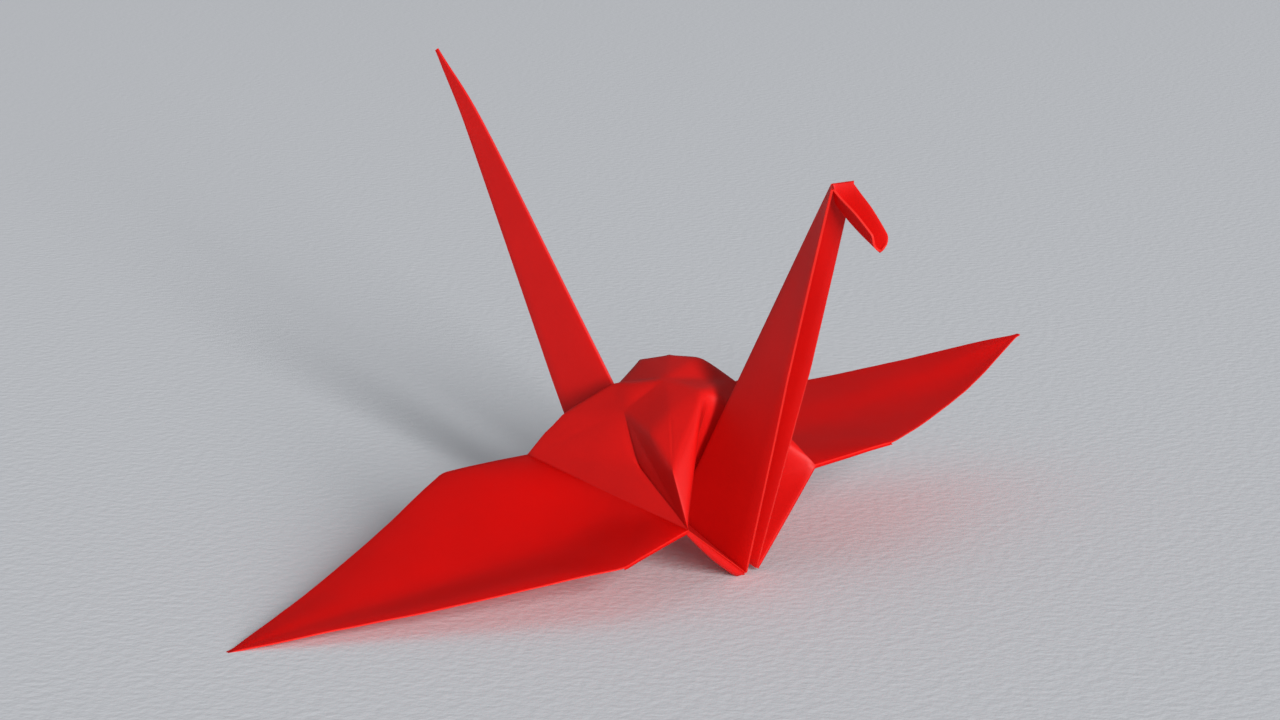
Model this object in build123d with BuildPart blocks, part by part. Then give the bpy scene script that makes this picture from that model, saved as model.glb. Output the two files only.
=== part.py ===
from build123d import *
import os
from math import atan2, cos, hypot, radians, sin, sqrt, tan

# Paper crane, folded from one square sheet and puffed open at the body.
# X runs from tail to beak, Y to the crane's left, Z up. It leans on the tip of its right wing.
# Every crease point keeps the distances that it has on the flat sheet, so the folds follow the sheet.

# The sheet
sheet_side = 150.0
paper = 0.1
leg_layers = 4
wing_layers = 2
corner_layers = 3
raw_edge_gap = 0.2
spine_fold = 0.35

# Body, puffed open
bottom_height = 5.25
keel_gap_front = 1.0
keel_gap_rear = 1.85
right_spread_front = 12.55
right_spread_rear = 10.45
left_spread_front = 11.3
left_spread_rear = 10.7
front_lean = 24.0
roof_slope = 2.8
front_brow_share = 0.262
rear_lean = 29.5
rear_brow_share = 0.37

# Buckles in the puffed panels: share of the way down from the crown, then forward, outward and up
right_ridge_buckle = (0.3, -1.4, 0.4, 2.7)
right_ridge_low_buckle = (0.66, -2.4, 0.4, 1.7)
right_front_buckle = (0.2, 0.25, 0.4, -0.15)
right_front_low_buckle = (0.6, 0.55, 1.7, 0.2)
right_panel_dent = (0.335, -4.85, -0.15, -0.15)
right_panel_valley = (0.62, 1.95, 0, -2.2)
left_ridge_buckle = (0.345, -3.9, 0.9, 3.8)
left_front_buckle = (0.385, 1.9, 1.65, 4.35)
left_panel_bulge = (0.36, 1.5, 0.55, 6.05)

# Neck, head and tail: crease heights on the flat leg from the wings' hinge crease, head lengths from its tip
neck_spine_crease = 1.3
neck_edge_crease = -2.4
neck_open = 2.0
neck_open_below = 33.0
head_spine_length = 11.0
head_edge_length = 9.9
head_open = 1.6
head_nesting = 0.3
head_drop = 1.5
beak_open = 0.45
beak_depth = 0.9
beak_blunt = 0.2
beak_drop = 0.5
tail_spine_crease = -1.0
tail_edge_crease = -3.45
tail_open = 1.65
tail_open_below = 32.6
tail_end_share = 0.2
tail_bends = ((0.35, 0.3, 1.0), (0.66, 0.9, 0.75))
tail_blunt = 0.9
tail_end_depth = 0.6

# Wings: slopes of the three stretches from the body out, turn in plan, and twist
right_wing_slopes = (3.0, -3.5, -1.0)
right_wing_turn = -0.7
right_wing_twist = -0.6
left_wing_slopes = (-4.9, -6.6, -3.3)
left_wing_turn = -1.4
left_wing_twist = 2.6
wing_tip_width = 0.6
corner_tip = 0.3
slit_share = 0.94
slit_reach = 1.0
settling_rounds = 60

# Places on the flat, narrowed base: across from the legs' spine, height from the hinge crease
half_side = sheet_side / 2
narrowing = tan(radians(90 / 8))
crown_rise = (sqrt(2) - 1) * half_side
shoulder_across = narrowing * (half_side + crown_rise) / (1 + narrowing)
shoulder_rise = crown_rise - shoulder_across
kink_rise = half_side * (crown_rise - narrowing * half_side) / (crown_rise + narrowing * half_side)
kink_across = narrowing * (half_side + kink_rise)
wing_middle_rise = (kink_rise + half_side) / 2
corner_fold = kink_across - (kink_rise - shoulder_rise)
right, left = -1, 1


def narrow_edge(rise):
    return (narrowing * (half_side + rise), rise)


shoulder_flat = (shoulder_across, shoulder_rise)
leg_tip_flat = (0, -half_side)


def flat_distance(a, b):
    return hypot(a[0] - b[0], a[1] - b[1])


up, down, front, rear = Vector(0, 0, 1), Vector(0, 0, -1), Vector(1, 0, 0), Vector(-1, 0, 0)


def meet(a, reach_a, b, reach_b, y, towards):
    """The point at this y that lies the two reaches away from a and b, on the side named."""
    flat_a = reach_a**2 - (a.Y - y) ** 2
    flat_b = reach_b**2 - (b.Y - y) ** 2
    span = hypot(b.X - a.X, b.Z - a.Z)
    share = (flat_a - flat_b + span**2) / (2 * span)
    off = sqrt(flat_a - share**2)
    line = Vector(b.X - a.X, 0, b.Z - a.Z) / span
    square_off = Vector(-line.Z, 0, line.X) * off
    foot = Vector(a.X, y, a.Z) + line * share
    return max((foot + square_off, foot - square_off), key=lambda p: p.dot(towards))


def on_middle(point):
    return Vector(point.X, 0, point.Z)


# Keel points, where the neck and the tail fold up, and shoulders, where the wings fold down
def keel_point(spine_crease, edge_crease, gap, way, side):
    reach = flat_distance((0, spine_crease), narrow_edge(edge_crease))
    return Vector(way * sqrt(reach**2 - bottom_height**2 - gap**2), side * gap, 0)


def shoulder(keel, spine_crease, edge_crease, spread, side):
    from_bottom = flat_distance((0, spine_crease), shoulder_flat)
    from_keel = flat_distance(narrow_edge(edge_crease), shoulder_flat)
    return meet(bottom, from_bottom, keel, from_keel, side * spread, up)


bottom = Vector(0, 0, bottom_height)
neck_creases = (neck_spine_crease, neck_edge_crease)
tail_creases = (tail_spine_crease, tail_edge_crease)
spread_front = {right: right_spread_front, left: left_spread_front}
spread_rear = {right: right_spread_rear, left: left_spread_rear}
keel_front = {s: keel_point(*neck_creases, keel_gap_front, 1, s) for s in (right, left)}
keel_rear = {s: keel_point(*tail_creases, keel_gap_rear, -1, s) for s in (right, left)}
shoulder_front = {s: shoulder(keel_front[s], *neck_creases, spread_front[s], s) for s in (right, left)}
shoulder_rear = {s: shoulder(keel_rear[s], *tail_creases, spread_rear[s], s) for s in (right, left)}

# Crown and brows stand on the crease down the middle; the buckles hang between them and the shoulders
front_crease = crown_rise - neck_spine_crease
rear_crease = crown_rise - tail_spine_crease
to_front_brow = Vector(sin(radians(front_lean)), 0, cos(radians(front_lean)))
to_rear_brow = Vector(-sin(radians(rear_lean)), 0, cos(radians(rear_lean)))
back_to_crown = Vector(-cos(radians(roof_slope)), 0, sin(radians(roof_slope)))
brow_front = bottom + to_front_brow * (front_crease * (1 - front_brow_share))
brow_rear = bottom + to_rear_brow * (rear_crease * (1 - rear_brow_share))
crown = brow_front + back_to_crown * (front_crease * front_brow_share)


def root_middle(side):
    return (shoulder_front[side] + shoulder_rear[side]) / 2


def buckle(end, shape, side):
    share, forward, outward, rise = shape
    return crown + (end - crown) * share + Vector(forward, side * outward, rise)


ridge_right = buckle(shoulder_rear[right], right_ridge_buckle, right)
ridge_right_low = buckle(shoulder_rear[right], right_ridge_low_buckle, right)
ridge_right_front = buckle(shoulder_front[right], right_front_buckle, right)
ridge_right_front_low = buckle(shoulder_front[right], right_front_low_buckle, right)
ridge_left = buckle(shoulder_rear[left], left_ridge_buckle, left)
ridge_left_front = buckle(shoulder_front[left], left_front_buckle, left)
dent = buckle(root_middle(right), right_panel_dent, right)
valley = buckle(root_middle(right), right_panel_valley, right)
bulge = buckle(root_middle(left), left_panel_bulge, left)

body_panels = [
    (crown, ridge_right, dent),
    (ridge_right, ridge_right_low, dent),
    (ridge_right_low, shoulder_rear[right], dent),
    (dent, shoulder_rear[right], valley),
    (valley, shoulder_rear[right], shoulder_front[right]),
    (crown, dent, ridge_right_front),
    (ridge_right_front, dent, valley),
    (ridge_right_front, valley, ridge_right_front_low),
    (ridge_right_front_low, valley, shoulder_front[right]),
    (crown, ridge_right_front, brow_front),
    (ridge_right_front, ridge_right_front_low, brow_front),
    (ridge_right_front_low, shoulder_front[right], brow_front),
    (brow_front, shoulder_front[right], bottom),
    (brow_front, bottom, shoulder_front[left]),
    (brow_front, shoulder_front[left], ridge_left_front),
    (crown, brow_front, ridge_left_front),
    (crown, ridge_left_front, bulge),
    (ridge_left_front, shoulder_front[left], bulge),
    (bulge, shoulder_front[left], shoulder_rear[left]),
    (bulge, shoulder_rear[left], ridge_left),
    (crown, bulge, ridge_left),
    (crown, ridge_left, brow_rear),
    (ridge_left, shoulder_rear[left], brow_rear),
    (brow_rear, shoulder_rear[left], bottom),
    (brow_rear, bottom, shoulder_rear[right]),
    (brow_rear, shoulder_rear[right], ridge_right_low),
    (brow_rear, ridge_right_low, ridge_right),
    (crown, brow_rear, ridge_right),
    (bottom, shoulder_front[right], shoulder_rear[right]),
    (bottom, shoulder_rear[left], shoulder_front[left]),
]

# Neck, head and tail: where the spine and the right-hand open edge run
neck_edge_flat = narrow_edge(neck_edge_crease)
neck_low_flat = narrow_edge(neck_edge_crease - neck_open_below)
head_spine_flat = (0, head_spine_length - half_side)
head_edge_flat = narrow_edge(head_edge_length - half_side)
tail_edge_flat = narrow_edge(tail_edge_crease)
tail_low_flat = narrow_edge(tail_edge_crease - tail_open_below)

to_low = flat_distance((0, neck_spine_crease), neck_low_flat)
neck_low = meet(bottom, to_low, keel_front[right], flat_distance(neck_edge_flat, neck_low_flat), -neck_open, up)
neck_spine_length = neck_spine_crease + half_side - head_spine_length
head_spine = meet(bottom, neck_spine_length, neck_low, flat_distance(neck_low_flat, head_spine_flat), 0, rear)
head_across = flat_distance(head_spine_flat, head_edge_flat)
head_edge = meet(head_spine, head_across, neck_low, flat_distance(neck_low_flat, head_edge_flat), -head_open, front)
beak_edge = flat_distance(head_edge_flat, leg_tip_flat)
beak = meet(head_spine, head_spine_length, head_edge, beak_edge, 0, down)

to_tail_low = flat_distance((0, tail_spine_crease), tail_low_flat)
tail_low = meet(bottom, to_tail_low, keel_rear[right], flat_distance(tail_edge_flat, tail_low_flat), -tail_open, up)
tail_length = half_side + tail_spine_crease
tail_tip = meet(bottom, tail_length, tail_low, flat_distance(tail_low_flat, leg_tip_flat), 0, front)


def press_panel(corners, layers):
    """Layers of paper pressed flat together, centred on the panel, with rounded edges."""
    normal = (corners[1] - corners[0]).cross(corners[2] - corners[0])
    panel = Plane(origin=corners[0], x_dir=corners[1] - corners[0], z_dir=normal)
    half = layers * paper / 2
    with BuildSketch(panel) as outline:
        with BuildLine():
            Polyline(*[panel.to_local_coords(c) for c in corners], close=True)
        make_face()
        offset(amount=half)
    extrude(outline.sketch, amount=half, both=True)


def trough(spine, towards_edges, half_open):
    """One section of a narrowed leg: two groups of layers that meet at the closed spine."""
    half = leg_layers * paper / 2
    section = Plane(origin=spine, x_dir=towards_edges, z_dir=towards_edges.cross(Vector(0, 1, 0)))
    slant = atan2(half_open, towards_edges.length)
    out = Vector(-sin(slant), cos(slant)) * half
    edge = Vector(towards_edges.length, half_open)
    corners = [Vector(-spine_fold, 0), out, edge + out, edge - out, Vector(half / sin(slant), 0)]
    turned = [Vector(p.X, -p.Y) for p in reversed(corners[1:4])]
    with BuildSketch(section) as shape:
        with BuildLine():
            Polyline(*corners, *turned, close=True)
        make_face()
    return shape.sketch


def closed_solid(panels):
    return Solid(Shell([Face(Wire.make_polygon(panel)) for panel in panels]))


heart = (bottom + crown) / 2


def outward(panel):
    normal = (panel[1] - panel[0]).cross(panel[2] - panel[0]).normalized()
    return normal if normal.dot(panel[0] - heart) > 0 else normal * -1


def inside(point):
    """The corner moved in until it lies one thickness of paper inside every panel that meets there."""
    normals = [outward(panel) for panel in body_panels if point in panel]
    moved = point
    for _ in range(settling_rounds):
        for normal in normals:
            missing = paper - (point - moved).dot(normal)
            moved = moved - normal * max(missing, 0)
    return moved


def wing_lines(side, slopes, turn, twist):
    """The straight lines across a wing, from the body out: middle, direction, outward way, rise and half width."""
    line = shoulder_front[side] - shoulder_rear[side]
    middle = root_middle(side)
    along = line.normalized().rotate(Axis.Y, -twist).rotate(Axis.Z, turn)
    across = Vector(0, side, 0)
    across = (across - along * across.dot(along)).normalized()
    upright = along.cross(across) * side
    lines = [(middle, line.normalized(), across, line.length / 2)]
    rise = shoulder_rise
    for slope, next_rise, half_width in zip(
        slopes,
        (kink_rise, wing_middle_rise, half_side),
        (kink_across, kink_across / 2, wing_tip_width / 2),
    ):
        way = across * cos(radians(slope)) + upright * sin(radians(slope))
        middle = middle + way * (next_rise - rise)
        lines.append((middle, along, way, half_width))
        rise = next_rise
    return lines


def wing_section(line, from_middle, to_middle, low, high):
    """A rectangle on one line of a wing, between two places along it and two heights above its middle layer."""
    middle, along, across, _ = line
    section = Plane(origin=middle, x_dir=along, z_dir=across)
    lift = 1 if section.y_dir.Z > 0 else -1
    with BuildSketch(section) as shape:
        with Locations(((from_middle + to_middle) / 2, lift * (low + high) / 2)):
            Rectangle(abs(to_middle - from_middle), high - low)
    return shape.sketch


def raw_edge_slit(start, end, direction):
    """The gap between the two raw edges that meet on the middle of a side wall."""
    slit = Plane(origin=(start + end) / 2, x_dir=end - start, z_dir=direction)
    with BuildSketch(slit) as shape:
        Rectangle((end - start).length * slit_share, raw_edge_gap)
    extrude(shape.sketch, amount=slit_reach, both=True, mode=Mode.SUBTRACT)


with BuildPart() as crane:
    # The puffed body: one layer of paper round the air inside, open along the raw edges of its side walls
    add(closed_solid(body_panels))
    add(closed_solid([[inside(p) for p in panel] for panel in body_panels]), mode=Mode.SUBTRACT)
    for side in (right, left):
        wall = (shoulder_front[side] - bottom).cross(shoulder_rear[side] - bottom)
        raw_edge_slit(root_middle(side), bottom, wall)
    for side in (right, left):
        press_panel((shoulder_front[side], bottom, keel_front[side]), leg_layers)
        press_panel((shoulder_rear[side], bottom, keel_rear[side]), leg_layers)

    # Neck and head; the head is folded inside the neck, so its two groups open upward
    neck_way = (head_spine - bottom).normalized()
    neck_low_spine = bottom + neck_way * (neck_low - bottom).dot(neck_way)
    neck_foot = trough(bottom, on_middle(keel_front[right]) - bottom, keel_gap_front)
    neck_middle = trough(neck_low_spine, on_middle(neck_low) - neck_low_spine, neck_open)
    neck_top = trough(head_spine, on_middle(head_edge) - head_spine, head_open)
    loft(sections=[neck_foot, neck_middle, neck_top])
    head_keel = head_spine + down * head_drop
    head_root = trough(head_keel, on_middle(head_edge) - head_keel, head_open - head_nesting)
    beak_way = (beak - head_spine).normalized()
    beak_up = Vector(-beak_way.Z, 0, beak_way.X)
    beak_keel = beak - beak_way * beak_blunt - beak_up * beak_drop
    beak_end = trough(beak_keel, beak_up * (beak_drop + beak_depth), beak_open)
    loft(sections=[head_root, beak_end])

    # Tail, bowed a little forward: share of the way up, how far it bends, share of its opening
    tail_way = (tail_tip - bottom).normalized()
    tail_back = Vector(-tail_way.Z, 0, tail_way.X)
    tail = [trough(bottom, on_middle(keel_rear[right]) - bottom, keel_gap_rear)]
    for share, bend, open_share in (*tail_bends, (1 - tail_blunt / tail_length, 0, tail_end_share)):
        spine = bottom + tail_way * (tail_length * share) - tail_back * bend
        half_open = tail_open * open_share
        width = max(narrowing * tail_length * (1 - share), hypot(tail_end_depth, half_open))
        depth = sqrt(width**2 - half_open**2)
        tail.append(trough(spine, tail_back * depth, half_open))
    loft(sections=tail)

    # Wings: a smooth upper layer, a lower layer in two halves, and the corners folded over below it
    wing_half = wing_layers * paper / 2
    for side, *shape in (
        (right, right_wing_slopes, right_wing_turn, right_wing_twist),
        (left, left_wing_slopes, left_wing_turn, left_wing_twist),
    ):
        lines = wing_lines(side, *shape)
        loft(sections=[wing_section(l, -l[3], l[3], -wing_half, wing_half) for l in lines], ruled=True)
        root, kink = lines[:2]
        for end in (-1, 1):
            fold = wing_section(root, end * corner_fold, end * shoulder_across, -corner_layers * paper, 0)
            tip = wing_section(kink, end * (kink_across - corner_tip), end * kink_across, -corner_layers * paper, 0)
            loft(sections=[fold, tip], ruled=True)
        gap = [wing_section(l, -raw_edge_gap / 2, raw_edge_gap / 2, -wing_layers * paper, 0) for l in lines]
        loft(sections=gap, ruled=True, mode=Mode.SUBTRACT)

# At rest it stands on the two right-hand keel points and leans on the tip of the right wing
wing_rest = wing_lines(right, right_wing_slopes, right_wing_turn, right_wing_twist)[-1][0]
wing_rest = wing_rest + up * (leg_layers - wing_layers) * paper / 2
floor_up = (keel_front[right] - keel_rear[right]).cross(keel_rear[right] - wing_rest).normalized()
level = Plane(origin=bottom, x_dir=front - floor_up * front.dot(floor_up), z_dir=floor_up)
resting = level.to_local_coords(crane.part)
box = resting.bounding_box()
resting = resting.moved(Location((-box.center().X, -box.center().Y, -box.min.Z)))

os.makedirs("parts", exist_ok=True)
resting.label = "paper_crane"
export_step(resting, "parts/paper_crane.step")
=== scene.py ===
from math import cos, hypot, pi, radians, sin, sqrt, tan

import bmesh
import bpy
from mathutils import Matrix, Vector, noise


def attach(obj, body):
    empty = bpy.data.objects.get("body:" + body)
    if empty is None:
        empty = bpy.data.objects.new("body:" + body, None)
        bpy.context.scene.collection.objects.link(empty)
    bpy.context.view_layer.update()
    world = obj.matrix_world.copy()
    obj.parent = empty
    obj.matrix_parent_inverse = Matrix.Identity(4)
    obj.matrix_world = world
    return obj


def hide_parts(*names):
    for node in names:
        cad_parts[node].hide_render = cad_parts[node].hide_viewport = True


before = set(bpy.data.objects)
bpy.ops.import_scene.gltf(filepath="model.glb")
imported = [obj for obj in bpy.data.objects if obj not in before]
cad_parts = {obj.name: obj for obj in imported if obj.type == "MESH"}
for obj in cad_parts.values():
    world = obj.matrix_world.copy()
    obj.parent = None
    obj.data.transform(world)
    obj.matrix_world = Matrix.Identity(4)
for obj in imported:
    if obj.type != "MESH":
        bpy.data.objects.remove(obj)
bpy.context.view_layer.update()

# The folded sheet. The crane is one square of thin coated paper with nothing cut off, so each crease
# point lies where the flat sheet's own lengths put it. Sizes are in millimetres, in the crane's own
# frame: X from tail to beak, Y to its left, Z up from the level of its keel points.
sheet_side = 150.0
paper = 0.1
half_side = sheet_side / 2
narrowing = tan(radians(90 / 8))
crown_rise = (sqrt(2) - 1) * half_side
shoulder_across = narrowing * (half_side + crown_rise) / (1 + narrowing)
shoulder_rise = crown_rise - shoulder_across
kink_rise = half_side * (crown_rise - narrowing * half_side) / (crown_rise + narrowing * half_side)
kink_across = narrowing * (half_side + kink_rise)
right, left = -1, 1
up = (0, 0, 1)
bottom = Vector((0, 0, 5.25))
# where each leg folds, at its spine and at its edge: heights on the flat leg from the wings' crease
neck_creases, tail_creases = (1.3, -2.4), (-1.0, -3.45)
# how far each keel point and each shoulder stands from the middle
keel_gaps = {"front": 1.0, "rear": 1.85}
spreads = {("front", right): 12.55, ("front", left): 11.3, ("rear", right): 10.45, ("rear", left): 10.7}


def narrow_edge(rise):
    """The point of the flat leg's narrowed edge at this height."""
    return Vector((narrowing * (half_side + rise), rise))


def meet(a, reach_a, b, reach_b, y, towards):
    """The point at this y that lies the two reaches away from a and b, on the side named."""
    flat_a = reach_a**2 - (a.y - y) ** 2
    flat_b = reach_b**2 - (b.y - y) ** 2
    line = Vector((b.x - a.x, 0, b.z - a.z))
    share = (flat_a - flat_b + line.length_squared) / (2 * line.length)
    off = sqrt(max(flat_a - share**2, 0))
    line.normalize()
    foot = Vector((a.x, y, a.z)) + line * share
    square_off = Vector((-line.z, 0, line.x)) * off
    return max((foot + square_off, foot - square_off), key=lambda p: p.dot(Vector(towards)))


def folded_place(flat, a, a_flat, b, b_flat, y, towards):
    """Where a point of the flat sheet comes to lie: as far from a and b as it is on the sheet."""
    return meet(a, (a_flat - flat).length, b, (b_flat - flat).length, y, towards)


shoulder_flat = Vector((shoulder_across, shoulder_rise))
keel, shoulder = {}, {}
for end, way, (spine_crease, edge_crease) in (("front", 1, neck_creases), ("rear", -1, tail_creases)):
    spine_flat, edge_flat = Vector((0, spine_crease)), narrow_edge(edge_crease)
    reach = (spine_flat - edge_flat).length
    for side in (right, left):
        gap = keel_gaps[end]
        keel[end, side] = Vector((way * sqrt(reach**2 - bottom.z**2 - gap**2), side * gap, 0))
        y = side * spreads[end, side]
        shoulder[end, side] = folded_place(
            shoulder_flat, bottom, spine_flat, keel[end, side], edge_flat, y, up
        )

# Where the crane lies. It leans on the tip of its right wing, so its own frame is turned a little in
# the row's frame, which starts on the floor below the middle of the crane.
rest_up = Vector((-0.00515, 0.1651, 0.98626)).normalized()
rest_front = (Vector((1, 0, 0)) - rest_up * rest_up.x).normalized()
rest_turn = Matrix((rest_front, rest_up.cross(rest_front), rest_up))
bottom_place = Vector((-4.104, 1.019, 5.697))
millimetre = 0.001


def place(point):
    """A point of the crane's own frame, in metres in the frame of the row."""
    return (rest_turn @ (Vector(point) - bottom) + bottom_place) * millimetre


# Paper. Thin coated origami paper, dyed right through and calendered smooth: an even matte face with
# a faint fibre mottle, and a paler look where it is folded hard or cut, partly wear and partly a painted
# highlight of the light that rounded folds catch. A single layer lets more light through than layers
# that are pressed together.
clouds_per_metre, fibres_per_metre = 110, 1900
fibre_share = 0.35
mottle_ends, face_starts = 0.35, 0.62
paper_grain, paper_grain_depth = 0.12, 0.00008
paper_ior, paper_sheen = 1.45, 0.4
smooth_below = 38


def linear(hex_colour):
    """The linear colour of an sRGB hex code."""
    parts = [int(hex_colour[i : i + 2], 16) / 255 for i in (1, 3, 5)]
    return [c / 12.92 if c <= 0.04045 else ((c + 0.055) / 1.055) ** 2.4 for c in parts] + [1]


light_through_paper = linear("#FF1C10")


def add_node(tree, kind, settings=None, inputs=None):
    """Adds a node; an input is a value, or a (node, output) pair to link."""
    node = tree.nodes.new(kind)
    for key, value in (settings or {}).items():
        setattr(node, key, value)
    for key, value in (inputs or {}).items():
        if isinstance(value, tuple) and isinstance(value[0], bpy.types.Node):
            tree.links.new(value[0].outputs[value[1]], node.inputs[key])
        else:
            node.inputs[key].default_value = value
    return node


def empty_material(name):
    """A new material and its node tree, cleared."""
    material = bpy.data.materials.new(name)
    material.use_nodes = True
    material.node_tree.nodes.clear()
    return material, material.node_tree


def speckle(tree, per_metre, detail):
    """Noise over a piece's own coordinates, with about this many patches to a metre."""
    where = add_node(tree, "ShaderNodeTexCoord")
    inputs = {"Vector": (where, "Object"), "Scale": per_metre, "Detail": detail}
    return add_node(tree, "ShaderNodeTexNoise", None, inputs)


def grain(tree, pattern, strength, depth):
    """A shallow relief from a pattern, its depth in metres."""
    inputs = {"Height": (pattern, "Fac"), "Strength": strength, "Distance": depth}
    return add_node(tree, "ShaderNodeBump", None, inputs)


def paper_material(name, face, mottle, roughness, passed):
    """Mottled matte paper; passed is the share of the light that glows through it."""
    material, tree = empty_material(name)
    # clouds of dye about 9 mm across, fibres about 0.5 mm, drawn as coarse as they need to show
    clouds = speckle(tree, clouds_per_metre, 3)
    fibres = speckle(tree, fibres_per_metre, 4)
    blend = {0: fibre_share, 2: (clouds, "Fac"), 3: (fibres, "Fac")}
    both = add_node(tree, "ShaderNodeMix", {"data_type": "FLOAT"}, blend)
    colour = add_node(tree, "ShaderNodeValToRGB", None, {"Fac": (both, 0)})
    dark, light = colour.color_ramp.elements
    dark.position, dark.color = mottle_ends, linear(mottle)
    light.position, light.color = face_starts, linear(face)
    surface_inputs = {
        "Base Color": (colour, "Color"),
        "Roughness": roughness,
        "IOR": paper_ior,
        "Specular IOR Level": paper_sheen,
        "Normal": (grain(tree, fibres, paper_grain, paper_grain_depth), "Normal"),
    }
    surface = add_node(tree, "ShaderNodeBsdfPrincipled", None, surface_inputs)
    glow = add_node(tree, "ShaderNodeBsdfTranslucent", None, {"Color": light_through_paper})
    both_ways = {0: passed, 1: (surface, "BSDF"), 2: (glow, "BSDF")}
    shader = add_node(tree, "ShaderNodeMixShader", None, both_ways)
    add_node(tree, "ShaderNodeOutputMaterial", None, {"Surface": (shader, "Shader")})
    return material


single_paper = paper_material("calendered_coloured_paper", "#E8120D", "#E0100B", 0.5, 0.7)
pressed_layers = paper_material("pressed_layers_of_paper", "#DA0F0A", "#D20D09", 0.52, 0.34)
# the paler colour of folds and cut edges is partly wear and partly a painted highlight
fold_wear_and_painted_highlight = paper_material("worn_paper_fold_with_painted_highlight", "#E6261A", "#DE1E15", 0.6, 0.4)


def only(piece):
    """Selects this piece alone."""
    bpy.ops.object.select_all(action="DESELECT")
    piece.select_set(True)
    bpy.context.view_layer.objects.active = piece


def finish_sheet(piece, thickness, edge_round, face, slip=0, sharp=28):
    """Gives a folded surface its layers and rounded edges, paler with wear and a painted highlight, lays
    on the floor what would reach below it, and hands the piece to the root body. Edges that turn more
    than sharp, in degrees, are rounded by edge_round, in mm."""
    only(piece)
    piece.data.materials.append(face)
    # rims and rounded edges take the fold colour, partly wear and partly a painted highlight
    piece.data.materials.append(fold_wear_and_painted_highlight)
    layers = piece.modifiers.new("layers", "SOLIDIFY")
    layers.thickness = thickness * millimetre
    layers.offset = slip
    layers.material_offset_rim = 1
    rounding = piece.modifiers.new("rounding", "BEVEL")
    rounding.width = edge_round * millimetre
    rounding.segments = 2
    rounding.limit_method = "ANGLE"
    rounding.angle_limit = radians(sharp)
    rounding.material = 1
    bpy.ops.object.modifier_apply(modifier="layers")
    bpy.ops.object.modifier_apply(modifier="rounding")
    bpy.ops.object.shade_smooth_by_angle(angle=radians(smooth_below))
    for v in piece.data.vertices:
        v.co.z = max(v.co.z, 0)
    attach(piece, "root")
    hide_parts("paper_crane")


# Puffed body. Blowing into the bird base opens it into a hump of single paper: hard folds run from
# the shoulders down, while the top only buckles, so those folds stay soft and the panels curve.
front_crease, rear_crease = crown_rise - neck_creases[0], crown_rise - tail_creases[0]
front_lean, rear_lean, roof_slope = radians(24.0), radians(29.5), radians(2.8)
front_brow_share, roof_share, rear_brow_share = 0.738, 0.262, 0.63
to_front_brow = Vector((sin(front_lean), 0, cos(front_lean)))
to_rear_brow = Vector((-sin(rear_lean), 0, cos(rear_lean)))
back_to_crown = Vector((-cos(roof_slope), 0, sin(roof_slope)))
brow_front = bottom + to_front_brow * (front_crease * front_brow_share)
brow_rear = bottom + to_rear_brow * (rear_crease * rear_brow_share)
crown = brow_front + back_to_crown * (front_crease * roof_share)
root_middle = {side: (shoulder["front", side] + shoulder["rear", side]) / 2 for side in (right, left)}


def buckle(end, share, forward, outward, rise):
    """A buckle of the hump: a share of the way from the crown to end, then moved by millimetres."""
    side = 1 if end.y > 0 else -1
    return crown + (end - crown) * share + Vector((forward, side * outward, rise))


spots = {
    "bottom": bottom,
    "crown": crown,
    "brow_front": brow_front,
    "brow_rear": brow_rear,
    "ridge": buckle(shoulder["rear", right], 0.3, -3.2, -1.1, 1.85),
    "ridge_low": buckle(shoulder["rear", right], 0.66, -3.1, -0.2, 1.35),
    "front_ridge": buckle(shoulder["front", right], 0.2, 1.85, 1.75, 0.6),
    "front_low": buckle(shoulder["front", right], 0.6, 2.2, 3.1, 1.0),
    "dent": buckle(root_middle[right], 0.335, -3.6, 0.85, 0.4),
    "valley": buckle(root_middle[right], 0.62, 2.4, 0.4, -1.95),
    "far_ridge": buckle(shoulder["rear", left], 0.345, -3.9, 0.9, 3.8),
    "far_brow": buckle(shoulder["front", left], 0.385, 0.8, 2.6, 3.85),
    "bulge": buckle(root_middle[left], 0.36, 0.6, 3.2, 5.75),
    "fr": shoulder["front", right],
    "rr": shoulder["rear", right],
    "fl": shoulder["front", left],
    "rl": shoulder["rear", left],
    "bulge_top": crown + Vector((-4.95, 5.7, 1.1)),
    "keel_fr": keel["front", right],
    "keel_fl": keel["front", left],
    "keel_rr": keel["rear", right],
    "keel_rl": keel["rear", left],
}
# the shelf lies among three other buckles, and a little out from them
shelf_among = spots["dent"] * 0.42 + spots["front_ridge"] * 0.2 + spots["front_low"] * 0.38
spots["shelf"] = shelf_among + Vector((0.9, -0.9, 0.5))
panels = """crown ridge dent / ridge ridge_low dent / ridge_low rr dent / dent rr valley / valley rr fr
crown dent front_ridge / front_ridge dent shelf / shelf dent valley / front_ridge shelf front_low
shelf valley front_low / front_low valley fr / crown front_ridge brow_front
front_ridge front_low brow_front / front_low fr brow_front / brow_front fr bottom
brow_front bottom fl / brow_front fl far_brow / crown brow_front far_brow / crown far_brow bulge
far_brow fl bulge / bulge fl rl / bulge rl bulge_top / bulge_top rl far_ridge
crown bulge bulge_top / crown bulge_top far_ridge / crown far_ridge brow_rear
far_ridge rl brow_rear / brow_rear rl bottom / brow_rear bottom rr / brow_rear rr ridge_low
brow_rear ridge_low ridge / crown brow_rear ridge / bottom fr keel_fr / bottom keel_fl fl
bottom rl keel_rl / bottom keel_rr rr""".replace("\n", " / ")
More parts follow.
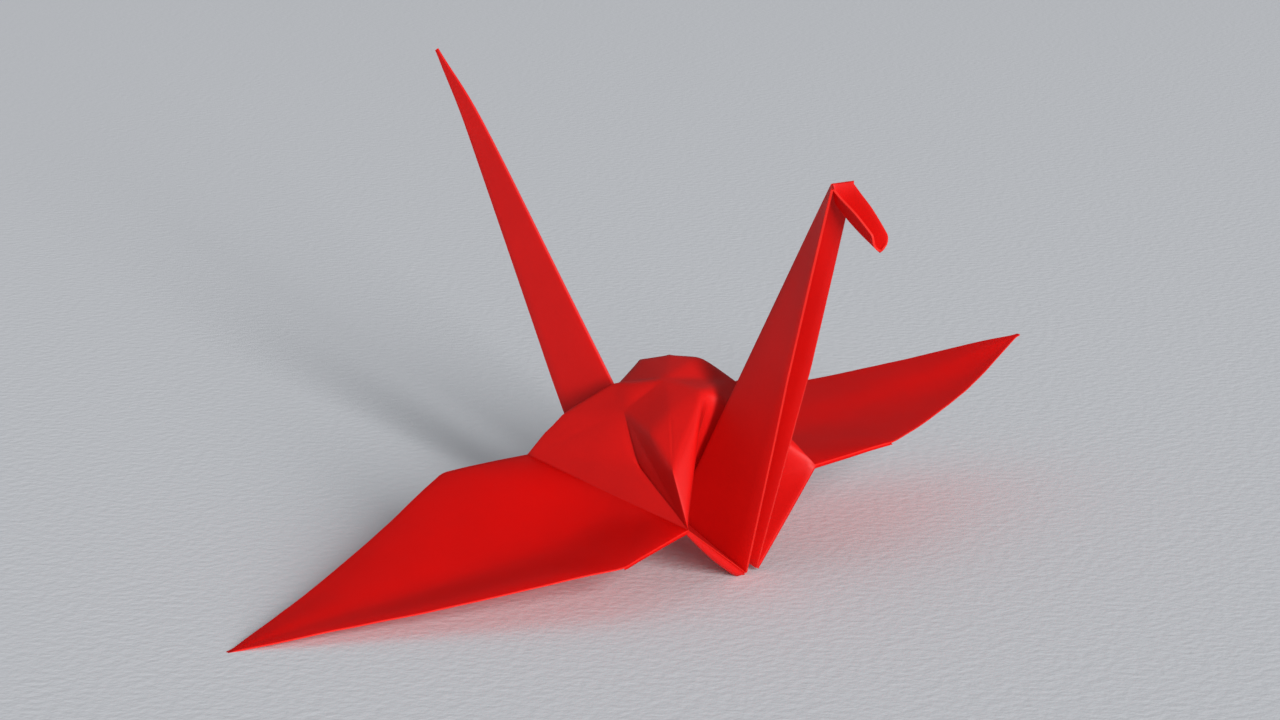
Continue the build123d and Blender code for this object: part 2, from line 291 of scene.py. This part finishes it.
# how hard each fold is pressed at its two ends, from 0, where it only rounds over, to 1 and more
folds = """fr rr 2 2 / rl fl 2 2 / bottom fr 2 2 / bottom rr 2 2 / bottom rl 2 2 / bottom fl 2 .2
fr keel_fr 2 2 / fl keel_fl 2 2 / rr keel_rr 2 2 / rl keel_rl 2 2 / bottom keel_fl 2 2
crown front_ridge 0 .4 / front_ridge front_low .4 1.4 / front_low fr 1.4 2 / dent valley 1.2 1
valley fr 1 1.5 / ridge_low rr .3 2 / brow_front bottom .2 2 / far_brow fl 1 2 / brow_rear bottom 1 2
far_ridge rl 0 2 / ridge dent .3 .6""".replace("\n", " / ")
# how far, in mm, the air inside pushes out the middle of each stretch between three spots
puffs = "dent rr fr 0.45 / front_low fr brow_front 0.25 / crown ridge dent 0.3"
puff_reach = 3 * millimetre
body_cuts, soft_rounds = 19, 16
on_fold = 0.02 * millimetre
past_fold_end = 0.001
body_waver = (0.09, 7)


def smooth_step(x):
    """Eases from 0 to 1 while x goes from 0 to 1, and stays level beyond."""
    x = min(1, max(0, x))
    return x * x * (3 - 2 * x)


def waver(point, depth, span):
    """How far hand-folded paper stands off its flat face here; span is about one wave, in mm."""
    return depth * noise.noise(Vector(point) / span)


body_mesh = bmesh.new()
corner = {name: body_mesh.verts.new(place(point)) for name, point in spots.items()}
for panel in panels.split(" / "):
    body_mesh.faces.new([corner[name] for name in panel.split()])
bmesh.ops.recalc_face_normals(body_mesh, faces=body_mesh.faces)
bmesh.ops.subdivide_edges(body_mesh, edges=body_mesh.edges, cuts=body_cuts, use_grid_fill=True)
body_mesh.verts.ensure_lookup_table()
softness = [1.0] * len(body_mesh.verts)
pushed = [0.0] * len(body_mesh.verts)
for puff in puffs.split(" / "):
    *names, height = puff.split()
    a, b, c = (place(spots[name]) for name in names)
    normal = (b - a).cross(c - a)
    edges = ((b, c), (c, a), (a, b))
    # the three shares of a place in the stretch are a third each at its middle, so this gives 1 there
    to_full_height = 3**3 * float(height)
    for v in body_mesh.verts:
        shares = [(q - p).cross(v.co - p).dot(normal) / normal.length_squared for p, q in edges]
        near = 1 - abs((v.co - a).dot(normal.normalized())) / puff_reach
        if min(shares) > 0 and near > 0:
            pushed[v.index] += to_full_height * shares[0] * shares[1] * shares[2] * smooth_step(near)
for fold in folds.split(" / "):
    start, end, pressed_start, pressed_end = fold.split()
    a, b = place(spots[start]), place(spots[end])
    for v in body_mesh.verts:
        share = (v.co - a).dot(b - a) / (b - a).length_squared
        off_fold = (v.co - a - (b - a) * share).length
        if -past_fold_end < share < 1 + past_fold_end and off_fold < on_fold:
            pressed = float(pressed_start) * (1 - share) + float(pressed_end) * share
            softness[v.index] = min(softness[v.index], max(0, 1 - pressed))
for step in range(soft_rounds):
    loose = [v for v in body_mesh.verts if softness[v.index] > step / soft_rounds]
    bmesh.ops.smooth_vert(
        body_mesh, verts=loose, factor=0.5, use_axis_x=True, use_axis_y=True, use_axis_z=True
    )
body_mesh.normal_update()
for v in body_mesh.verts:
    if softness[v.index] == 1:
        v.co += v.normal * (pushed[v.index] + waver(v.co * 1000, *body_waver)) * millimetre
body_data = bpy.data.meshes.new("puffed_body")
body_mesh.to_mesh(body_data)
body_mesh.free()
puffed_body = bpy.data.objects.new("puffed_body", body_data)
bpy.context.collection.objects.link(puffed_body)
# the folds inside the hump hold light back as pressed layers do
finish_sheet(puffed_body, paper, 0.06, pressed_layers, slip=-1, sharp=20)

# Side walls. Under each wing the sheet's two raw edges run down from the wing's root to the bottom
# point, side by side, so each wall is two triangles with a hairline between them.
hands = {right: "right", left: "left"}
half_hairline = 0.06
wall_width = 0.965


def sheet_grid(name, across, along, shape):
    """A grid of paper; shape gives the point for a place across, -1 to 1, and along, 0 to 1."""
    bpy.ops.mesh.primitive_grid_add(x_subdivisions=across, y_subdivisions=along, size=2)
    piece = bpy.context.object
    piece.name = piece.data.name = name
    for v in piece.data.vertices:
        v.co = place(shape(v.co.x, (v.co.y + 1) / 2))
    piece.data.update()
    return piece


for side in (right, left):
    for end in ("front", "rear"):

        def side_wall(u, s):
            """The wall runs from the hairline out to just inside the shoulder."""
            line = root_middle[side] + (bottom - root_middle[side]) * s
            towards = shoulder[end, side] - line
            return line + towards.normalized() * half_hairline + towards * ((u + 1) / 2 * wall_width)

        wall = sheet_grid(f"{hands[side]}_side_wall_{end}", 8, 10, side_wall)
        finish_sheet(wall, paper, 0.03, pressed_layers)


# Flaps. Below each shoulder the narrowed leg, four layers thick, comes down to the keel, where it
# folds up into neck or tail; its outer fold isn't pressed quite flat.
flap_fold_columns = 0.3
flap_inner_gap = 0.12
# how far the outer fold puffs, at the shoulder and where it is fullest, in mm
slack_flap, tight_flap = (0.24, 0.66), (0.16, 0.28)
flap_puffs = {("front", right): slack_flap, ("front", left): tight_flap}
flap_puffs |= {("rear", right): tight_flap, ("rear", left): tight_flap}


def rounded_fold(spine, inside, normal, radius, end_gap, u):
    """A point of a sheet folded round a soft nose at the spine; u is -1 and 1 at its inner edges."""
    nose = flap_fold_columns
    length = (inside - spine).length
    if abs(u) < nose:
        turn = pi / 2 * u / nose
        deep, off = radius * (1 - cos(turn)), radius * sin(turn)
    else:
        share = (abs(u) - nose) / (1 - nose)
        deep = radius + (length - radius) * share
        off = (radius + (end_gap - radius) * share) * (1 if u > 0 else -1)
    return spine + (inside - spine) / length * deep + normal * off


for (end, side), (puff_top, puff_full) in flap_puffs.items():
    a, b, c = shoulder[end, side], bottom, keel[end, side]
    normal = (b - a).cross(c - a).normalized()
    outward = normal if normal.y * side > 0 else -normal

    def flap(u, s):
        """The flap is closed along its outer fold, from the shoulder to the keel."""
        puff = puff_top + (puff_full - puff_top) * sin(0.7 * pi * s)
        centre = outward * (puff * (1 - 0.5 * abs(u)) + flap_inner_gap)
        return rounded_fold(a + (c - a) * s, b, normal, puff, flap_inner_gap, u) + centre

    piece = sheet_grid(f"{end}_{hands[side]}_flap", 40, 16, flap)
    finish_sheet(piece, 1.5 * paper, 0.04, pressed_layers)


# Neck. One leg of the bird base, folded up between the flaps: two groups of four layers that meet
# at a closed spine towards the body and stand a little open in front.
down, forward, backward = (0, 0, -1), (1, 0, 0), (-1, 0, 0)
neck_open, neck_open_below, neck_gape = 2.0, 33.0, 0.4
head_open, head_spine_length, head_edge_length = 1.6, 11.0, 9.9
spine_fold, spine_nose = 0.09, 0.3
leg_thickness = 3.2 * paper


def middle(point):
    """The same place on the crane's plane of symmetry."""
    return Vector((point.x, 0, point.z))


def trough(spine, edge, half_open, u):
    """A point of a V section: u is -1 at the right edge, 0 at the spine, 1 at the left edge."""
    fold, nose = spine_fold, spine_nose / (edge - spine).length
    depth = (sqrt(u * u + fold * fold) - fold) / (sqrt(1 + fold * fold) - fold)
    return spine + (edge - spine) * (depth * (1 + nose) - nose) + Vector((0, half_open * u, 0))


def spread_columns(u):
    """Moves the grid's columns towards the spine fold and the two edges."""
    return u * (0.45 + 0.55 * u * u) if abs(u) < 1 else u


def through(places, s):
    """The place at share s on a broken line, given as pairs of a share and a place."""
    for (s0, p0), (s1, p1) in zip(places, places[1:]):
        if s <= s1:
            break
    t = (s - s0) / (s1 - s0)
    return p0 + (p1 - p0) * t


neck_low_flat = narrow_edge(neck_creases[1] - neck_open_below)
neck_edge_flat = narrow_edge(neck_creases[1])
head_spine_flat = Vector((0, head_spine_length - half_side))
head_edge_flat = narrow_edge(head_edge_length - half_side)
neck_spine_flat, leg_tip_flat = Vector((0, neck_creases[0])), Vector((0, -half_side))
neck_low = folded_place(
    neck_low_flat, bottom, neck_spine_flat, keel["front", right], neck_edge_flat, -neck_open, up
)
head_spine = folded_place(
    head_spine_flat, bottom, neck_spine_flat, neck_low, neck_low_flat, 0, backward
)
head_edge = folded_place(
    head_edge_flat, head_spine, head_spine_flat, neck_low, neck_low_flat, -head_open, forward
)
beak = folded_place(leg_tip_flat, head_spine, head_spine_flat, head_edge, head_edge_flat, 0, down)
neck_spine_length = (neck_spine_flat - head_spine_flat).length
neck_way = (head_spine - bottom).normalized()
low_share = (neck_low - bottom).dot(neck_way) / neck_spine_length
neck_edges = [(0, keel["front", right]), (low_share, neck_low), (1, head_edge)]
gape_from = low_share * 0.6


def neck_shape(u, s):
    """The neck stands a little more open from its lower part up to the head."""
    edge = through(neck_edges, s)
    opening = -edge.y + neck_gape * smooth_step((s - gape_from) / (1 - gape_from))
    return trough(bottom + (head_spine - bottom) * s, middle(edge), opening, spread_columns(u))


neck = sheet_grid("neck", 24, 60, neck_shape)
finish_sheet(neck, leg_thickness, 0.08, pressed_layers)

# Head. The neck's tip is folded back down inside it, so its two groups of layers open upward and
# its blunt beak is the sheet's corner.
beak_blunt, beak_drop, beak_depth = 0.5, 0.75, 1.35
beak_way = (beak - head_spine).normalized()
beak_up = Vector((-beak_way.z, 0, beak_way.x))
beak_keel = beak - beak_way * beak_blunt - beak_up * beak_drop
head_rim = middle(head_edge)
beak_rim = beak_keel + beak_up * beak_depth
head_belly, head_belly_full_at, head_swell, rim_swell = 1.3, 0.2, 0.5, 0.3
tip_rounds_from, near_rim_dips_from, near_rim_dip = 0.86, 0.8, 0.75
head_open_at_neck, head_open_at_beak = 1.75, 1.0
least_opening, least_depth = 0.15, 0.2


def head_shape(u, s):
    """The head's keel hangs below the line from neck to beak, and its tip and near rim round off."""
    u = spread_columns(u)
    swell = sin(pi * s**0.9)
    round_tip = sqrt(max(0, 1 - max(0, (s - tip_rounds_from) / (1 - tip_rounds_from)) ** 2))
    sunk = head_belly * smooth_step(s / head_belly_full_at) * (1 - s) + head_swell * swell
    spine = head_spine + (beak_keel - head_spine) * s - beak_up * sunk
    height = head_rim + (beak_rim - head_rim) * s - spine
    height += beak_up * rim_swell * swell * smooth_step(2 * s)
    if u < 0:
        height *= 1 - near_rim_dip * smooth_step((s - near_rim_dips_from) / (1 - near_rim_dips_from))
    opening = head_open_at_neck + (head_open_at_beak - head_open_at_neck) * s
    opening *= least_opening + (1 - least_opening) * round_tip
    return trough(spine, spine + height * (least_depth + (1 - least_depth) * round_tip), opening, u)


head = sheet_grid("head", 24, 60, head_shape)
finish_sheet(head, 0.26, 0.04, pressed_layers)

# Tail. The other leg, folded up at the rear in the same way and drawn to a slim point; it bows a
# little forward, its tip turns back, and its open edges point back.
tail_open, tail_open_below = 1.65, 32.6
tail_low_share, tail_closes, tail_short, tail_least = 0.35, 1.6, 0.3, 0.1
tail_bow, tail_swell, tail_tip_bend, tail_tip_bends_from = 0.2, 0.65, 0.8, 0.8
tail_foot_share = 0.12
tail_low_flat = narrow_edge(tail_creases[1] - tail_open_below)
tail_edge_flat, tail_spine_flat = narrow_edge(tail_creases[1]), Vector((0, tail_creases[0]))
tail_low = folded_place(
    tail_low_flat, bottom, tail_spine_flat, keel["rear", right], tail_edge_flat, -tail_open, up
)
tail_tip = folded_place(leg_tip_flat, bottom, tail_spine_flat, tail_low, tail_low_flat, 0, forward)
tail_length = half_side + tail_creases[0]
tail_way = (tail_tip - bottom).normalized()
tail_back = Vector((-tail_way.z, 0, tail_way.x))
foot_edge = middle(keel["rear", right])


def tail_shape(u, s):
    """The tail narrows evenly to its tip, and its open edges start at the keel."""
    swell = tail_swell * sin(pi * s**3)
    tip_bend = tail_tip_bend * smooth_step((s - tail_tip_bends_from) / (1 - tail_tip_bends_from)) ** 2
    bow = tail_bow * sin(pi * s) + swell - tip_bend
    spine = bottom + tail_way * ((tail_length - tail_short) * s) - tail_back * bow
    opening = keel_gaps["rear"] + (tail_open - keel_gaps["rear"]) * min(1, s / tail_low_share)
    opening -= tail_closes * max(0, (s - tail_low_share) / (1 - tail_low_share))
    width = max(narrowing * tail_length * (1 - s), hypot(tail_least, opening)) + swell
    edge = spine + tail_back * sqrt(width**2 - opening**2)
    near_foot = max(0, 1 - s / tail_foot_share)
    return trough(spine, edge + (foot_edge - edge) * near_foot, opening, spread_columns(u))


tail = sheet_grid("tail", 24, 70, tail_shape)
finish_sheet(tail, leg_thickness, 0.08, pressed_layers)

# Wings. Each is a smooth upper layer over two halves whose raw edges meet along its middle, with the
# corners of the narrowed edges folded over below; hand folding leaves them slightly curled.
wing_cuts = 60
wing_tip_half_width = 0.3
slope_places = (0, 0.35, 0.8, 1)
# slopes on the way out from the body, turn in plan and twist along the wing, in degrees
wings = {
    right: {"slopes": (3.0, -3.5, -1.0), "turn": -0.7, "twist": -0.6},
    left: {"slopes": (-4.9, -6.6, -2.0), "turn": -1.4, "twist": 2.6},
}
# how far, in mm, the rear half droops and the front edge hangs, and how strong the middle's trough is
wing_bends = {
    right: {"droop": 0.8, "hang": 0, "valley": 2.1},
    left: {"droop": 1.4, "hang": 0.9, "valley": 0.9},
}
# the trough is deepest about a fifth of the way out and fades towards the tip
valley_power, valley_depth, valley_fade = 0.55, 2.1, 1.7
# a small lip stands up just outside the fold at the root
lip_height, lip_full_at, lip_falls_from, lip_fall = 0.5, 0.014, 0.02, 0.25
wide_waver, fine_waver = (0.16, 13), (0.05, 4)
lower_drop, raw_edge_share = 1.02 * paper, 0.008
corner_drop, corner_gape = 0.12, 0.48
corner_across = kink_across - (kink_rise - shoulder_rise)
kink_share = (kink_rise - shoulder_rise) / (half_side - shoulder_rise)


def wing_stations(side, slopes, turn, twist):
    """Place, direction across, upright and half width at each station from the root to the tip."""
    root_span = shoulder["front", side] - shoulder["rear", side]
    root_line = root_span.normalized()
    line = Matrix.Rotation(radians(turn), 3, "Z") @ (Matrix.Rotation(radians(-twist), 3, "Y") @ root_line)
    out = Vector((0, side, 0))
    out = (out - line * out.dot(line)).normalized()
    upright = line.cross(out) * side
    point = root_middle[side].copy()
    step = (half_side - shoulder_rise) / wing_cuts
    root_half = root_span.length / 2
    slope_line = list(zip(slope_places, (*slopes, slopes[-1])))
    stations = []
    for k in range(wing_cuts + 1):
        rise = shoulder_rise + step * k
        first = min(1, (rise - shoulder_rise) / (kink_rise - shoulder_rise))
        after = max(0, (rise - kink_rise) / (half_side - kink_rise))
        if after == 0:
            half_width = root_half + (kink_across - root_half) * first
        else:
            half_width = kink_across * (1 - after)
        half_width = max(half_width, wing_tip_half_width)
        stations.append((point.copy(), root_line.lerp(line, first), upright, half_width))
        slope = radians(through(slope_line, k / wing_cuts))
        way = out * cos(slope) + upright * sin(slope)
        point += way * step
    return stations


for side, wing in wings.items():
    stations = wing_stations(side, **wing)
    bends = wing_bends[side]

    def on_wing(u, s, drop=0):
        """A point of the wing: u is -1 at its rear edge and 1 in front, drop is how far below."""
        k = min(int(s * wing_cuts), wing_cuts - 1)
        t = s * wing_cuts - k
        (p0, l0, upright, w0), (p1, l1, _, w1) = stations[k], stations[k + 1]
        point = p0.lerp(p1, t) + l0.lerp(l1, t).normalized() * u * (w0 + (w1 - w0) * t)
        past_kink = max(0, (s - kink_share) / (1 - kink_share))
        sag = sin(pi * past_kink) if side == right else sin(pi * s**0.6) ** 2
        depth = sin(pi * s**valley_power) * (valley_depth - valley_fade * s)
        lip = lip_height * smooth_step(s / lip_full_at)
        lip *= 1 - smooth_step((s - lip_falls_from) / lip_fall)
        lip *= 1 - u**4
        loose = smooth_step(s * 6)
        bend = -bends["droop"] * sag * smooth_step((-u - 0.1) / 0.9)
        bend -= bends["hang"] * sin(pi * past_kink) * smooth_step((u + 0.1) / 0.9)
        bend -= bends["valley"] * depth * (smooth_step((u + 0.95) / 1.15) - smooth_step((u - 0.1) / 0.9))
        bend += lip + waver(point, *wide_waver) * loose + waver(point, *fine_waver) * loose
        return point + upright * (bend - drop)

    def on_width(s):
        """The wing's half width at this share of its length."""
        k = min(int(s * wing_cuts), wing_cuts - 1)
        return stations[k][3] + (stations[k + 1][3] - stations[k][3]) * (s * wing_cuts - k)

    hand = hands[side]
    upper = sheet_grid(f"{hand}_wing_upper_layer", 36, 90, on_wing)
    finish_sheet(upper, paper, 0.04, single_paper)
    for edge, end in ((-1, "rear"), (1, "front")):

        def lower_layer(u, s):
            """One half of the lower side, from beside the slit out to the wing's edge."""
            across = raw_edge_share + (1 - raw_edge_share) * (u + 1) / 2
            return on_wing(edge * across, s, lower_drop)

        lower = sheet_grid(f"{hand}_wing_lower_{end}", 16, 70, lower_layer)
        finish_sheet(lower, paper, 0.04, single_paper)

        def corner_fold(u, s):
            """The corner folded over below; its fold stands a little open along the wing's edge."""
            s *= kink_share
            inner = (corner_across + (kink_across - corner_across) * s / kink_share) / on_width(s)
            across = 1 - (1 - inner) * max(0, (u + 0.6) / 1.6)
            drop = corner_drop + corner_gape * smooth_step((u + 1) / 0.5) * (1 - 0.5 * s / kink_share)
            return on_wing(edge * across, s, drop)

        corner = sheet_grid(f"{hand}_wing_corner_{end}", 14, 24, corner_fold)
        finish_sheet(corner, paper, 0.03, single_paper)


# Floor. A sheet of heavy, slightly rough white drawing paper lit by soft studio light.
floor_size = 8
tooth_per_metre, tooth_strength, tooth_depth = 650, 0.25, 0.0005
floor_paper, tree = empty_material("rough_drawing_paper")
tooth = grain(tree, speckle(tree, tooth_per_metre, 4), tooth_strength, tooth_depth)
floor_inputs = {"Base Color": linear("#DEE0E4"), "Roughness": 0.85, "Normal": (tooth, "Normal")}
floor_surface = add_node(tree, "ShaderNodeBsdfPrincipled", None, floor_inputs)
add_node(tree, "ShaderNodeOutputMaterial", None, {"Surface": (floor_surface, "BSDF")})
bpy.ops.mesh.primitive_plane_add(size=floor_size)
floor = bpy.context.object
floor.name = "floor"
floor.data.materials.append(floor_paper)

# Light and camera. One tall soft window, far off and low in front of the crane to its right, and pale
# light all round from the walls of the room. Angles are in degrees, lengths in metres.
room_colour, room_light = "#EFF2F6", 0.32
window_azimuth, window_elevation, window_distance = -22, 14, 20.0
window_width, window_height, window_power = 2.5, 11.0, 6400

world = bpy.data.worlds.new("studio")
bpy.context.scene.world = world
world.use_nodes = True
world.node_tree.nodes["Background"].inputs["Color"].default_value = linear(room_colour)
world.node_tree.nodes["Background"].inputs["Strength"].default_value = room_light

window_way = Vector((1, 0, 0))
window_way.rotate(Matrix.Rotation(radians(-window_elevation), 3, "Y"))
window_way.rotate(Matrix.Rotation(radians(window_azimuth), 3, "Z"))
window_light = bpy.data.lights.new("window", "AREA")
window_light.shape = "RECTANGLE"
window_light.size, window_light.size_y = window_width, window_height
window_light.energy = window_power
window = bpy.data.objects.new("window", window_light)
window.location = window_way * window_distance
window.rotation_euler = window_way.to_track_quat("Z", "Y").to_euler()
bpy.context.collection.objects.link(window)

camera_data = bpy.data.cameras.new("camera")
camera_data.lens = 98.955
camera_data.sensor_width = 36
camera = bpy.data.objects.new("camera", camera_data)
camera.location = (0.33889, -0.32186, 0.13522)
camera.rotation_euler = (radians(77.136), radians(-0.032), radians(47.367))
bpy.context.collection.objects.link(camera)
bpy.context.scene.camera = camera
bpy.context.scene.view_settings.view_transform = "Standard"
